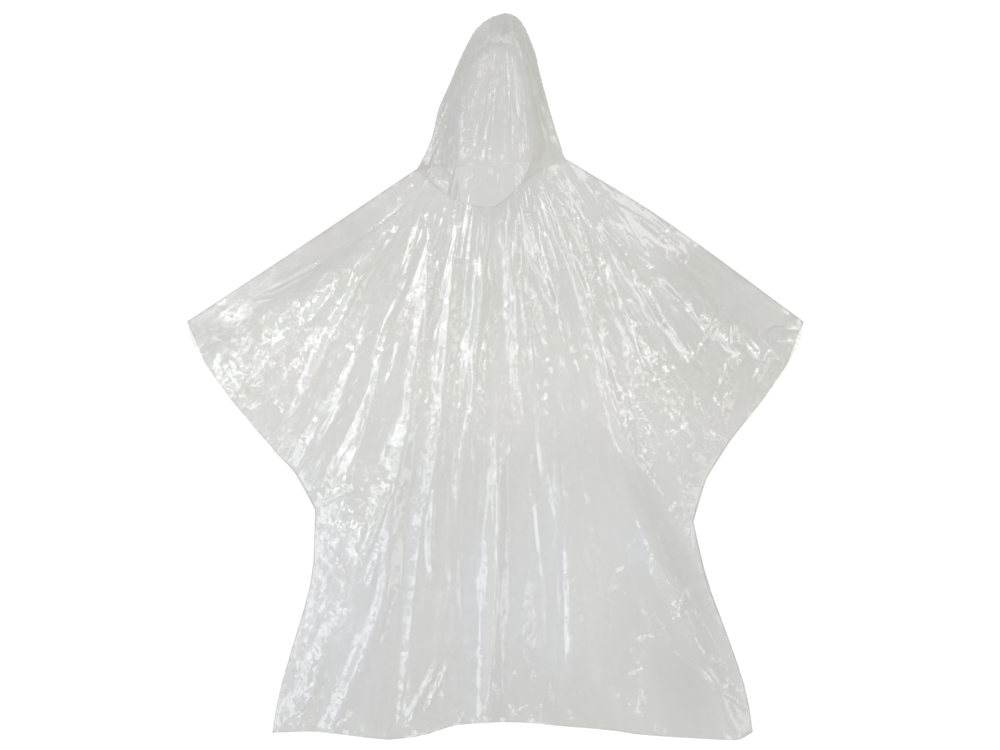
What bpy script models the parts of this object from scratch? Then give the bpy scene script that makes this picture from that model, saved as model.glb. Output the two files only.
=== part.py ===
"""A clear film poncho raincoat, laid out flat on its back with the face opening up.

Two body panels, cut with their half sleeves in one, are welded along the shoulders and sides.
A hood of two halves is welded along the crown and the back, and round the neckline.
Metres. +Y runs from the hem to the hood, +Z is up, and the back of the coat lies at Z = 0.
Right and left are the wearer's, so the right side is at -X.
"""

import math

import bmesh
import bpy

# Driving sizes
WALL = 0.001  # thickness that stands in for the film
SEAM_GAP = 0.0003  # between pieces at a seam
NECK_SEAM_GAP = 1.5 * SEAM_GAP  # the same along Y, at the slanting neckline
BODY_LOFT = 0.0035  # how far the front lies over the back between its folds
LOFT_REACH = 0.06  # the front rises to that loft within this distance of a weld
NECK_RISE = 0.008  # how much higher the front's neckline lies under the chin
HOOD_FOLD_RADIUS = 0.003  # of the hood's side folds, outside, half way up
HOOD_NECK_RADIUS = WALL + SEAM_GAP / 2  # of the same folds at the neck, where they close up

# The cut of both body panels: each landmark's (x, y) on the wearer's right and left
CUT = {
    "neck point": ((-0.139, 0.363), (0.1254, 0.380)),
    "shoulder": ((-0.337, 0.230), (0.289, 0.279)),
    "cuff top": ((-0.5405, 0.096), (0.5405, 0.096)),
    "cuff corner": ((-0.532, 0.062), (0.533, 0.062)),
    "cuff middle": ((-0.484, -0.014), (0.489, -0.014)),
    "cuff bottom": ((-0.390, -0.128), (0.401, -0.128)),
    "armpit": ((-0.344, -0.178), (0.366, -0.188)),
    "waist": ((-0.316, -0.234), (0.347, -0.255)),
    "hip": ((-0.322, -0.352), (0.371, -0.356)),
    "skirt": ((-0.352, -0.462), (0.4095, -0.462)),
    "hem side": ((-0.379, -0.555), (0.440, -0.555)),
    "hem corner": ((-0.391, -0.625), (0.451, -0.624)),
}
HEM = (  # x and y of the lower edge between its corners, from the wearer's right to the left
    (-0.312, -0.623),
    (-0.238, -0.632),
    (-0.184, -0.637),
    (-0.122, -0.628),
    (-0.070, -0.612),
    (0.026, -0.606),
    (0.128, -0.614),
    (0.200, -0.620),
    (0.254, -0.628),
    (0.359, -0.635),
    (0.425, -0.637),
)
NECKLINE = (  # x and y of the front's neckline between its ends. It drops below the chin
    (-0.100, 0.330),
    (-0.062, 0.307),
    (-0.026, 0.2985),
    (0.000, 0.300),
    (0.022, 0.315),
    (0.044, 0.338),
    (0.082, 0.362),
)
SLEEVE_SHARE = 0.1  # share of the neckline, at each end, that the sleeve fans out from

# The hood
HOOD_SIDES = (  # where its side folds lie
    # y, right, left
    (0.4148, -0.1131, 0.1114),
    (0.4674, -0.1009, 0.0956),
    (0.5200, -0.0781, 0.0816),
    (0.5639, -0.0596, 0.0719),
    (0.5902, -0.0465, 0.0623),
    (0.6077, -0.0360, 0.0553),
    (0.6253, -0.0167, 0.0447),
    (0.6340, 0.0020, 0.0340),
)
RIM_FEET = {"right": (-0.062, 0.307), "left": (0.044, 0.338)}  # where the rim meets the neckline
HOOD_RIM = (  # the rim round the face, and how high it stands
    # y, right, left, height
    (0.360, -0.0675, 0.0560, 0.014),
    (0.400, -0.0690, 0.0650, 0.018),
    (0.450, -0.0710, 0.0650, 0.022),
    (0.500, -0.0620, 0.0600, 0.024),
    (0.540, -0.0480, 0.0520, 0.024),
    (0.570, -0.0290, 0.0380, 0.022),
)
PEAK = (0.0167, 0.6376)  # the top of the crown seam, on the outline
RIM_TOP = (0.0100, 0.5850, 0.020)  # where the crown seam ends at the face, and its height
BACK_SEAM = ((-0.0050, 0.3714), (0.0130, 0.5850))  # from the nape to the start of the crown

# The largest folds of the front spread from the neckline. Each row has the fold's share of the
# way across the panel at the neckline, half way down and at the lower edge or cuff, the shares
# of the way down where it starts and ends, its height, and its half width as a share across.
FOLD_COLUMNS = ("neck", "middle", "edge", "start", "end", "height", "half_width")
BODY_FOLDS = (  # across from the wearer's right to the left
    (0.030, 0.060, 0.050, 0.20, 0.66, 0.008, 0.020),
    (0.100, 0.200, 0.118, 0.03, 1.00, 0.010, 0.025),
    (0.270, 0.305, 0.310, 0.02, 0.76, 0.010, 0.022),
    (0.455, 0.385, 0.370, 0.03, 0.62, 0.013, 0.025),
    (0.520, 0.483, 0.447, 0.36, 1.00, 0.011, 0.026),
    (0.590, 0.565, 0.535, 0.02, 0.44, 0.011, 0.022),
    (0.680, 0.664, 0.605, 0.40, 0.97, 0.008, 0.028),
    (0.745, 0.782, 0.740, 0.03, 0.38, 0.011, 0.020),
    (0.968, 0.895, 0.970, 0.02, 1.00, 0.012, 0.022),
)
SLEEVE_FOLDS = {  # across from the shoulder to the body
    "right": (
        (0.360, 0.220, 0.060, 0.10, 0.86, 0.009, 0.045),
        (0.480, 0.460, 0.390, 0.42, 1.00, 0.010, 0.045),
        (0.600, 0.630, 0.720, 0.20, 0.95, 0.012, 0.045),
        (0.800, 0.900, 0.870, 0.40, 0.94, 0.008, 0.040),
    ),
    "left": (
        (0.260, 0.180, 0.140, 0.08, 0.72, 0.009, 0.045),
        (0.480, 0.440, 0.340, 0.28, 0.96, 0.010, 0.045),
        (0.660, 0.620, 0.660, 0.14, 0.80, 0.011, 0.045),
        (0.820, 0.880, 0.850, 0.20, 0.90, 0.010, 0.045),
    ),
}
WIDEST_GAP = {"body": 0.07, "sleeve": 0.07}  # between mesh columns, as a share across
# A fold's cross section: steps of its half width from the crest, and shares of its height
FOLD_PROFILE = ((-1.0, 0.0), (-0.5, 0.42), (0.0, 1.0), (0.5, 0.42), (1.0, 0.0))

# Resolution
YOKE_ROWS = 12  # rows of faces from the neckline to the waist
SKIRT_ROWS = 9  # rows of faces from the waist to the hem
BACK_COLUMNS = {"body": 14, "sleeve": 5}
HOOD_ROWS = 20
HOOD_BACK_COLUMNS = 4
BEND_STEPS = 4
BAND_COLUMNS = 6

FILM_COLOR = (0.62, 0.63, 0.60, 0.55)
FILM_ROUGHNESS = 0.22

SIDES = {"right": 0, "left": 1}
WAIST_SHARE = YOKE_ROWS / (YOKE_ROWS + SKIRT_ROWS)


# Curves and patches


def mix(a, b, t):
    """The point a share t of the way from a to b."""
    return tuple(x + (y - x) * t for x, y in zip(a, b))


def blend(a, b, t):
    return a + (b - a) * t


def smooth(t):
    t = min(max(t, 0.0), 1.0)
    return t * t * (3 - 2 * t)


def unit(v):
    length = math.hypot(*v)
    return tuple(x / length for x in v)


def curve_through(points):
    """A function from 0..1 to a smooth curve through the points, paced by their distances."""
    knots = [0.0]
    for a, b in zip(points, points[1:]):
        knots.append(knots[-1] + math.dist(a[:2], b[:2]))
    knots = [k / knots[-1] for k in knots]
    slopes = []
    for i in range(len(points)):
        lo, hi = max(i - 1, 0), min(i + 1, len(points) - 1)
        span = knots[hi] - knots[lo]
        slopes.append(tuple((b - a) / span for a, b in zip(points[lo], points[hi])))

    def at(t):
        t = min(max(t, 0.0), 1.0)
        i = next(k for k in range(len(knots) - 1) if t <= knots[k + 1] or k == len(knots) - 2)
        h = knots[i + 1] - knots[i]
        s = (t - knots[i]) / h
        weights = (2 * s**3 - 3 * s**2 + 1, (s**3 - 2 * s**2 + s) * h)
        weights += (3 * s**2 - 2 * s**3, (s**3 - s**2) * h)
        parts = zip(points[i], slopes[i], points[i + 1], slopes[i + 1])
        return tuple(sum(w * x for w, x in zip(weights, part)) for part in parts)

    return at


def straight(a, b):
    return lambda t: mix(a, b, t)


def joined(first, second, share):
    """One curve that runs through first up to share of the way, and then through second."""
    return lambda t: first(t / share) if t <= share else second((t - share) / (1 - share))


def part_of(curve, start, end):
    return lambda t: curve(blend(start, end, t))


def share_nearest(curve, point):
    return min((i / 500 for i in range(501)), key=lambda t: math.dist(curve(t), point))


def patch(top, bottom, left, right):
    """A Coons patch: a function of (u across, v down) that meets four curves."""

    def at(u, v):
        corners = mix(mix(left(0), right(0), u), mix(left(1), right(1), u), v)
        down = mix(top(u), bottom(u), v)
        across = mix(left(v), right(v), u)
        return tuple(a + b - c for a, b, c in zip(down, across, corners))

    return at


# The cut of the body


def landmarks(side, *names):
    return [CUT[name][SIDES[side]] for name in names]


def shoulder_line(side):
    return curve_through(landmarks(side, "neck point", "shoulder", "cuff top"))


def front_neckline():
    ends = landmarks("right", "neck point"), landmarks("left", "neck point")
    return curve_through([*ends[0], *NECKLINE, *ends[1]])


def back_neckline():
    return straight(*landmarks("right", "neck point"), *landmarks("left", "neck point"))


def body_patches(neckline):
    """The patches of one body panel: the body, and the sleeve on each side of it."""
    lines, sleeves = {}, {}
    for side in SIDES:
        inner = SLEEVE_SHARE if side == "right" else 1 - SLEEVE_SHARE
        (waist,) = landmarks(side, "waist")
        inner_line = straight(neckline(inner), waist)
        seam = curve_through(landmarks(side, "waist", "hip", "skirt", "hem side", "hem corner"))
        cuff = curve_through(
            landmarks(side, "cuff top", "cuff corner", "cuff middle", "cuff bottom", "armpit", "waist")
        )
        top = part_of(neckline, SIDES[side], inner)
        lines[side] = joined(inner_line, seam, WAIST_SHARE)
        sleeves[side] = patch(top, cuff, shoulder_line(side), inner_line)
    corners = landmarks("right", "hem corner"), landmarks("left", "hem corner")
    hem = curve_through([*corners[0], *HEM, *corners[1]])
    body = patch(part_of(neckline, SLEEVE_SHARE, 1 - SLEEVE_SHARE), hem, lines["right"], lines["left"])
    return body, sleeves


def row_shares():
    """How far down the body each row lies. The sleeves have the rows as far as the waist."""
    yoke = [WAIST_SHARE * i / YOKE_ROWS for i in range(YOKE_ROWS + 1)]
    return yoke + [blend(WAIST_SHARE, 1.0, (i + 1) / SKIRT_ROWS) for i in range(SKIRT_ROWS)]


# Heights of the front panel


def fold_columns(table, widest):
    """The mesh columns in order: (its shares across, its share of a fold's height, the fold)."""
    columns = [((0.0, 0.0, 0.0), 0.0, None)]
    for row in table:
        fold = dict(zip(FOLD_COLUMNS, row))
        for step, height_share in FOLD_PROFILE:
            offset = step * fold["half_width"]
            run = tuple(fold[place] + offset for place in ("neck", "middle", "edge"))
            columns.append((run, height_share, fold))
    columns.append(((1.0, 1.0, 1.0), 0.0, None))
    filled = []
    for before, after in zip(columns, columns[1:]):
        pieces = math.ceil(max(b - a for a, b in zip(before[0], after[0])) / widest)
        filled.append(before)
        filled += [(mix(before[0], after[0], i / pieces), 0.0, None) for i in range(1, pieces)]
    return filled + columns[-1:]


def plain_columns(count):
    return [((i / count,) * 3, 0.0, None) for i in range(count + 1)]


def across(run, v):
    """The share across at v of a column that runs through its three shares on a parabola."""
    neck, middle, edge = run
    return neck * (1 - v) * (1 - 2 * v) + middle * 4 * v * (1 - v) + edge * v * (2 * v - 1)


def fold_height(share, fold, v):
    """The height of a fold at v, a share of the way down. It rises and dies away softly."""
    if fold is None or v < fold["start"]:
        return 0.0
    along = (v - fold["start"]) / (fold["end"] - fold["start"])
    fade = 1.0 if fold["end"] == 1.0 else smooth((1.0 - along) / 0.35)
    return share * fold["height"] * smooth(along / 0.25) * fade


def weld_points():
    """The welded edges of the body, each as points: the shoulders, and underarm to hem."""
    lines = []
    for side in SIDES:
        flank = landmarks(side, "cuff bottom", "armpit", "waist", "hip", "skirt", "hem side", "hem corner")
        for curve in (shoulder_line(side), curve_through(flank)):
            lines.append([curve(i / 16) for i in range(17)])
    return lines


def distance_to(lines, x, y):
    best = math.inf
    for line in lines:
        for (ax, ay), (bx, by) in zip(line, line[1:]):
            dx, dy = bx - ax, by - ay
            t = ((x - ax) * dx + (y - ay) * dy) / (dx * dx + dy * dy)
            t = min(max(t, 0.0), 1.0)
            best = min(best, math.hypot(x - ax - t * dx, y - ay - t * dy))
    return best


def neck_height(share):
    """Height of the front's underside along its neckline, from neck point (0) to neck point (1)."""
    return WALL + SEAM_GAP + NECK_RISE * math.sin(math.pi * share) ** 2


# Solids


def film(name):
    material = bpy.data.materials.new(name + "_film")
    material.use_nodes = True
    shader = material.node_tree.nodes["Principled BSDF"]
    shader.inputs["Base Color"].default_value = FILM_COLOR
    shader.inputs["Alpha"].default_value = FILM_COLOR[3]
    shader.inputs["Roughness"].default_value = FILM_ROUGHNESS
    shader.inputs["Metallic"].default_value = 0.0
    return material


def wall_solid(name, faces, outside, inside):
    """A closed wall: the same faces on its outside and inside points, and a rim between them."""
    bm = bmesh.new()
    outer = [bm.verts.new(p) for p in outside]
    inner = [bm.verts.new(p) for p in inside]
    uses = {}
    for face in faces:
        bm.faces.new([outer[i] for i in face])
        bm.faces.new([inner[i] for i in reversed(face)])
        for a, b in zip(face, face[1:] + face[:1]):
            uses[(a, b)] = True
    for a, b in uses:
        if (b, a) not in uses:
            bm.faces.new([outer[b], outer[a], inner[a], inner[b]])
    bmesh.ops.recalc_face_normals(bm, faces=bm.faces)
    mesh = bpy.data.meshes.new(name)
    bm.to_mesh(mesh)
    bm.free()
    mesh.shade_smooth()
    mesh.set_sharp_from_angle(angle=math.radians(40))
    mesh.materials.append(film(name))
    bpy.context.scene.collection.objects.link(bpy.data.objects.new(name, mesh))


def grid_faces(first, columns, rows):
    """Quads of a grid of points that are numbered row by row from first."""
    faces = []
    for r in range(rows - 1):
        for c in range(columns - 1):
            i = first + r * columns + c
            faces.append([i, i + columns, i + columns + 1, i + 1])
    return faces


def welded(points, faces):
    """Points at one place made one, so that patches that share an edge join."""
    index, kept, renamed = {}, [], []
    for p in points:
        key = (round(p[0], 6), round(p[1], 6))
        if key not in index:
            index[key] = len(kept)
            kept.append(p)
        renamed.append(index[key])
    return kept, [[renamed[i] for i in face] for face in faces]


def thickened(points, faces):
    """The points moved straight up until the wall between is WALL thick, measured square to it."""
    steepness = [[] for _ in points]
    for face in faces:
        a, b, c, d = (points[i] for i in face)
        p = [x - y for x, y in zip(c, a)]
        q = [x - y for x, y in zip(d, b)]
        normal = (p[1] * q[2] - p[2] * q[1], p[2] * q[0] - p[0] * q[2], p[0] * q[1] - p[1] * q[0])
        for i in face:
            steepness[i].append(math.hypot(*normal) / abs(normal[2]))
    return [(x, y, z + WALL * sum(s) / len(s)) for (x, y, z), s in zip(points, steepness)]


def panel(neckline, body_columns, sleeve_columns, height_at):
    """Points and quads of a whole body panel. height_at takes x, y, fold rise, v, neck share."""
    body, sleeves = body_patches(neckline)
    rows = row_shares()
    points, faces = [], []

    def add(place, columns, rows, reach, neck_share):
        first = len(points)
        for v in rows:
            down = v / reach
            for run, height_share, fold in columns:
                u = across(run, down)
                x, y = place(u, down)
                rise = fold_height(height_share, fold, down)
                points.append((x, y, height_at(x, y, rise, v, neck_share(u))))
        faces.extend(grid_faces(first, len(columns), len(rows)))

    add(body, body_columns, rows, 1.0, lambda u: blend(SLEEVE_SHARE, 1 - SLEEVE_SHARE, u))
    for side, sleeve in sleeves.items():
        inner = SLEEVE_SHARE if side == "right" else 1 - SLEEVE_SHARE
        columns = sleeve_columns[side]
        if side == "left":  # the sleeve's columns run from the shoulder, and so from +X
            columns = columns[::-1]
        yoke = rows[: YOKE_ROWS + 1]
        add(sleeve, columns, yoke, WAIST_SHARE, lambda u, a=SIDES[side], b=inner: blend(a, b, u))
    return welded(points, faces)


def make_front_panel():
    """The front, with its half sleeves. It lies on the back, and its largest folds stand up."""
    welds = weld_points()

    def height_at(x, y, rise, v, neck_share):
        inside = smooth(distance_to(welds, x, y) / LOFT_REACH)
        rest = WALL + SEAM_GAP + BODY_LOFT * inside
        from_neck = smooth(v / 0.08)
        return blend(neck_height(neck_share), rest + rise * inside, from_neck)

    body_columns = fold_columns(BODY_FOLDS, WIDEST_GAP["body"])
    sleeve_columns = {
        side: fold_columns(table, WIDEST_GAP["sleeve"]) for side, table in SLEEVE_FOLDS.items()
    }
    points, faces = panel(front_neckline(), body_columns, sleeve_columns, height_at)
    wall_solid("front_panel", faces, thickened(points, faces), points)


def make_back_panel():
    """The back, cut like the front but for its neckline. It lies flat on the floor."""
    sleeve_columns = {side: plain_columns(BACK_COLUMNS["sleeve"]) for side in SIDES}
    points, faces = panel(
        back_neckline(),
        plain_columns(BACK_COLUMNS["body"]),
        sleeve_columns,
        lambda x, y, rise, v, neck_share: 0.0,
    )
    wall_solid("back_panel", faces, points, [(x, y, WALL) for x, y, _ in points])


def hood_lines(side):
    """The side fold, the rim with its heights, and the back seam of one half, from the neck up."""
    sign = -1 if side == "right" else 1
    column = 1 + SIDES[side]

    def beside_seam(x, y, *z):
        return (x + sign * SEAM_GAP / 2, y, *z)

    def above_neck(x, y, *z):
        return (x, y + NECK_SEAM_GAP, *z)

    neckline = front_neckline()
    (neck_point,) = landmarks(side, "neck point")
    sides = [above_neck(*neck_point), *((row[column], row[0]) for row in HOOD_SIDES)]
    foot_share = share_nearest(neckline, RIM_FEET[side])
    foot = above_neck(*neckline(foot_share), neck_height(foot_share) + WALL)
    rim = [foot, *((row[column], row[0], row[3]) for row in HOOD_RIM), beside_seam(*RIM_TOP)]
    nape, crown = BACK_SEAM
    return (
        curve_through([*sides, beside_seam(*PEAK)]),
        curve_through(rim),
        straight(above_neck(*beside_seam(*nape)), beside_seam(*crown)),
        foot_share,
    )


def make_hood_half(side):
    """One half of the hood: from the back seam, round the side fold, to the rim of the face."""
    fold, rim, seam, foot_share = hood_lines(side)
    neckline = front_neckline()

    def radius(t):
        return blend(HOOD_NECK_RADIUS, HOOD_FOLD_RADIUS, smooth(t / 0.25))

    def outward(t):
        return unit(tuple(a - b for a, b in zip(fold(t), seam(t))))

    def inset(t):
        return tuple(p - radius(t) * d for p, d in zip(fold(t), outward(t)))

    def share_at(u):
        return blend(SIDES[side], foot_share, u)

    start_offset = tuple(a - b for a, b in zip(inset(0), neckline(share_at(0))))

    def neck_edge(u):
        """The hood's front edge along the neckline, from the side fold to the rim's foot."""
        offset = mix(start_offset, (0.0, NECK_SEAM_GAP), u)
        return tuple(a + b for a, b in zip(neckline(share_at(u)), offset))

    def rim_plan(t):
        return rim(t)[:2]

    back = patch(straight(seam(0), inset(0)), straight(seam(1), inset(1)), seam, inset)
    band = patch(neck_edge, straight(inset(1), rim_plan(1)), inset, rim_plan)

    def band_height(u, t):
        """Height of the band's upper side, from the side fold (0) to the rim (1)."""
        loft = blend(2 * radius(t), rim(t)[2], math.sin(math.pi / 2 * u) ** 1.3)
        return blend(neck_height(share_at(u)) + WALL, loft, smooth(t / 0.12))

    outside, inside = [], []
    for row in range(HOOD_ROWS + 1):
        t = row / HOOD_ROWS
        for i in range(HOOD_BACK_COLUMNS):
            x, y = back(i / HOOD_BACK_COLUMNS, t)
            outside.append((x, y, 0.0))
            inside.append((x, y, WALL))
        for i in range(BEND_STEPS + 1):
            angle = math.pi * (i / BEND_STEPS - 0.5)
            for points, r in ((outside, radius(t)), (inside, radius(t) - WALL)):
                x, y = (p + d * r * math.cos(angle) for p, d in zip(inset(t), outward(t)))
                points.append((x, y, radius(t) + r * math.sin(angle)))
        for i in range(1, BAND_COLUMNS + 1):
            u, before = i / BAND_COLUMNS, (i - 1) / BAND_COLUMNS
            x, y = band(u, t)
            z = band_height(u, t)
            slope = (z - band_height(before, t)) / math.dist(band(before, t), (x, y))
            outside.append((x, y, z))
            inside.append((x, y, z - WALL * math.hypot(1, slope)))
    faces = grid_faces(0, len(outside) // (HOOD_ROWS + 1), HOOD_ROWS + 1)
    wall_solid("hood_" + side, faces, outside, inside)


def main():
    for obj in list(bpy.data.objects):
        bpy.data.objects.remove(obj)
    make_back_panel()
    make_front_panel()
    for side in SIDES:
        make_hood_half(side)


main()
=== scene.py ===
"""The looks of a clear film poncho raincoat, laid out flat with its face opening up.

Each piece of film is a thin sheet on the form of its CAD solid. The largest folds come from the
solid. The creases of the table below, the crumpled areas and the fine crinkle are made here.
Metres, in the frame's axes: +Y runs from the hem to the hood, and the wearer's right is at -X.
"""

import math

import bmesh
import bpy
import numpy as np
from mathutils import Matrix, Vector, geometry
from mathutils.bvhtree import BVHTree


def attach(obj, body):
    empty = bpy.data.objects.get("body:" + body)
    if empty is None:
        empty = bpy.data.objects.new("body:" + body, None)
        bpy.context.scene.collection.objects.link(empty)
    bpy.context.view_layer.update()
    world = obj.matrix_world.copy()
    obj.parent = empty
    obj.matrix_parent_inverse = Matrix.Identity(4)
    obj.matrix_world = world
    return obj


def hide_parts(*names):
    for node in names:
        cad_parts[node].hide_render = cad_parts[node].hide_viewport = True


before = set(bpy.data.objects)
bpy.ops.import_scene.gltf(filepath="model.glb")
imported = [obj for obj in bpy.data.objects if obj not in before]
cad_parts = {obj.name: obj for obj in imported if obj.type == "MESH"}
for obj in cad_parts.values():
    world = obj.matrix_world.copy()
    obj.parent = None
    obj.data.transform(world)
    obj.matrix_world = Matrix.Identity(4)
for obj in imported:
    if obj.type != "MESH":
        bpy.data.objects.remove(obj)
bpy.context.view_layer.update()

FRONT_SPACING, BACK_SPACING = 0.0031, 0.0044  # between the points of a film sheet
HOOD_EDGE = 0.0036  # the longest edge between the points of the hood
CAD_WALL = 0.001  # the walls of the solids, and a film lies halfway through them
BACK_EDGE_Z, FRONT_EDGE_Z = 0.0006, 0.0016  # the lowest heights of the two films
HEM_TOP = -0.60  # every point of the outlines below this is on the hem
BACK_MOST = 0.0011  # how far the crinkle of the back rises, which stays under the front
BACK_HELD = 0.020  # from its edge, where that crinkle reaches its full height
FRONT_LIFT = 0.0010  # how far the front lies clear of the back, which leaves its troughs room
LIFT_REACH = 0.080  # from its edge, where the front has all of that lift
FRONT_HELD = 0.010  # from its edge, where the front still keeps to its solid
CREASE_REACH = 0.042  # from its edge, where creases reach their full height
FIRM_ROUNDS, SOFT_ROUNDS = 12, 45  # of smoothing, for the solid's folds where firm and where soft
FIRM_SHARE, FIRM_VARIES = 0.35, 0.45  # of the folds that stays firm, and how much that varies
SEAM_REACH = 0.0016  # how far an edge of the hood may be from what it is welded to
WELD_WIDTH, WELD_HEIGHT, WELD_FLATTER = 0.0024, 0.0011, 0.6
NECK_BACK = ((0.003, 0.34), (0.060, 0.055))  # where the back shows: centre and half extents
HOOD_MIDDLE = 0.003  # the hood's middle line in X
SEED = 20

# Films: how much they hide, their gloss, how sharp their facets are, and their three colours
FRONT_FILM = dict(
    alpha=0.38,
    shine=1.0,
    sharp=0.85,
    olive=(0.600, 0.608, 0.508),
    neutral=(0.596, 0.600, 0.592),
    warm=(0.63, 0.57, 0.52),
)
BACK_FILM = dict(
    alpha=0.45,
    shine=0.8,
    sharp=0.5,
    olive=(0.360, 0.363, 0.305),
    neutral=(0.355, 0.355, 0.350),
    warm=(0.38, 0.355, 0.335),
)
HOOD_FILM = dict(
    alpha=0.55,
    shine=0.42,
    sharp=0.6,
    olive=(0.588, 0.588, 0.520),
    neutral=(0.500, 0.500, 0.534),
    warm=(0.60, 0.54, 0.50),
)
WELD_FILM = dict(
    alpha=0.35,
    shine=0.6,
    sharp=0.0,
    olive=(0.50, 0.50, 0.45),
    neutral=(0.50, 0.50, 0.49),
    warm=(0.52, 0.49, 0.46),
)
FILM_IOR, FILM_ROUGHNESS = 2.0, 0.09
OLIVE_TO_NEUTRAL = (-0.02, -0.30)  # the heights between which olive gives way to neutral
OLIVE_BAND = 0.45  # how far an olive band goes along with that
TROUGH_SHADE_RIDGE_WHITE = (0.91, 1.09)  # painted shade in troughs; whiter film on ridges
CRUMPLED_WHITER = 0.14
ROUGH_DEPTH = 0.00010  # of the film's own texture
STREAK_CELLS = (((0.0055, 0.080), 1.3), ((0.0026, 0.022), 0.7))  # size round the fan and along it
CRINKLE_CELLS = (((0.011, 0.013), 0.9), ((0.0044, 0.0050), 0.6))  # size across and along
FULL_RIDGE = 0.0005  # how far over its neighbours a point is fully on a ridge
# painted shade along the films' edges: how much darker, and how wide
EDGE_DARKER, EDGE_WIDTH = 0.30, 0.003
HOOD_BACK_SHADE = 0.45  # the hood's back against its sides: painted shade inside the hood
CALM_SHADE, MILKY_MORE = 0.22, 0.22  # painted shade in calm areas; how much milkier milky ones are
NECK_SHADE = 0.72  # the back's painted shade where it shows at the neck, inside the hood
CALM_PLAIN = 0.7  # how much of the fine crinkle a calm area loses
CALM_FLATTER, SMOOTH_FLATTER = 0.75, 0.85  # how much of the crumple those areas lose
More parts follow.
